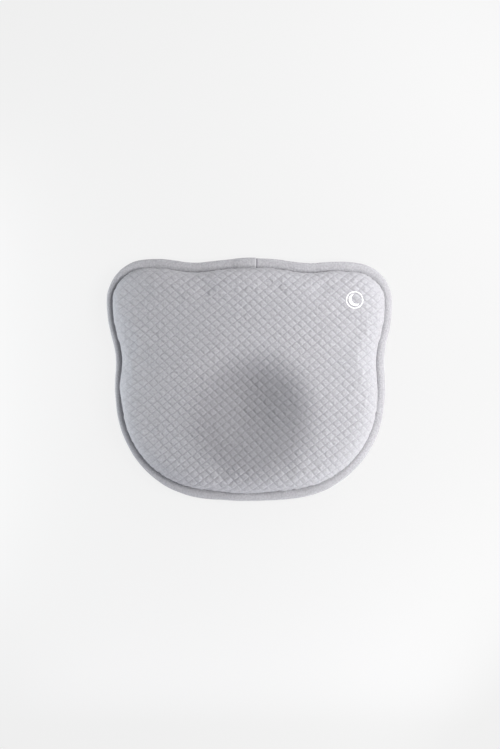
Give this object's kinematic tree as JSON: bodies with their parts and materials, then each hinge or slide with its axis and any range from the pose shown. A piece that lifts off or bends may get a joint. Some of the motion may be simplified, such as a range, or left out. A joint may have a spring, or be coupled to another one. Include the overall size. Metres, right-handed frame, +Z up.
{
  "type": "baby head pillow",
  "caption": "Low grey baby head pillow with two small ears, a round head dish, a diamond-quilted zipped cover, a bound edge and a foam core.",
  "frame": {"origin": "centre of the footprint, on the surface that the pillow lies on", "axes": "+Z up out of the pillow's face; +Y towards the two ears; +X to the right seen from above, towards the emblem"},
  "size_m": [0.2596, 0.2215, 0.0346],
  "materials": {
    "memory_foam": "open-cell slow-rebound polyurethane foam, matte",
    "liner_knit": "thin white jersey, matte",
    "quilted_knit": "grey double knit quilted in small diamonds, soft matte",
    "back_knit": "grey spacer knit, matte",
    "binding_knit": "fine grey rib knit, matte",
    "thread": "spun polyester sewing thread, matte",
    "zip_tape": "woven polyester tape, matte",
    "zip_nylon": "nylon coil, semi-matte",
    "zip_metal": "grey lacquered zinc alloy, satin",
    "emblem_film": "white heat-transfer film, satin",
    "label_satin": "white satin ribbon, left blank"
  },
  "bodies": {
    "pillow": {"foam_core": "memory_foam", "liner_top": "liner_knit", "liner_base": "liner_knit", "cover_face": "quilted_knit", "back_panel_upper": "back_knit", "back_panel_lower": "back_knit", "edge_binding": "binding_knit", "binding_thread": "thread", "zip_tape_upper": "zip_tape", "zip_tape_lower": "zip_tape", "zip_coil_upper": "zip_nylon", "zip_coil_lower": "zip_nylon", "zip_top_stops": "zip_metal", "zip_bottom_stop": "zip_metal", "zip_topstitch": "thread", "zip_bar_tacks": "thread", "emblem": "emblem_film", "care_label": "label_satin"},
    "slider": {"zip_slider": "zip_metal"},
    "pull": {"zip_pull": "zip_metal"}
  },
  "joints": [
    {"name": "zip_slide", "type": "slide", "parent": "pillow", "child": "slider", "axis": [-1, 0, 0], "range_m": [0, 0.156]},
    {"name": "pull_swing", "type": "hinge", "parent": "slider", "child": "pull", "pos_m": [0.078, 0.055, 0.00228], "axis": [0, -1, 0], "range_deg": [0, 180]}
  ]
}
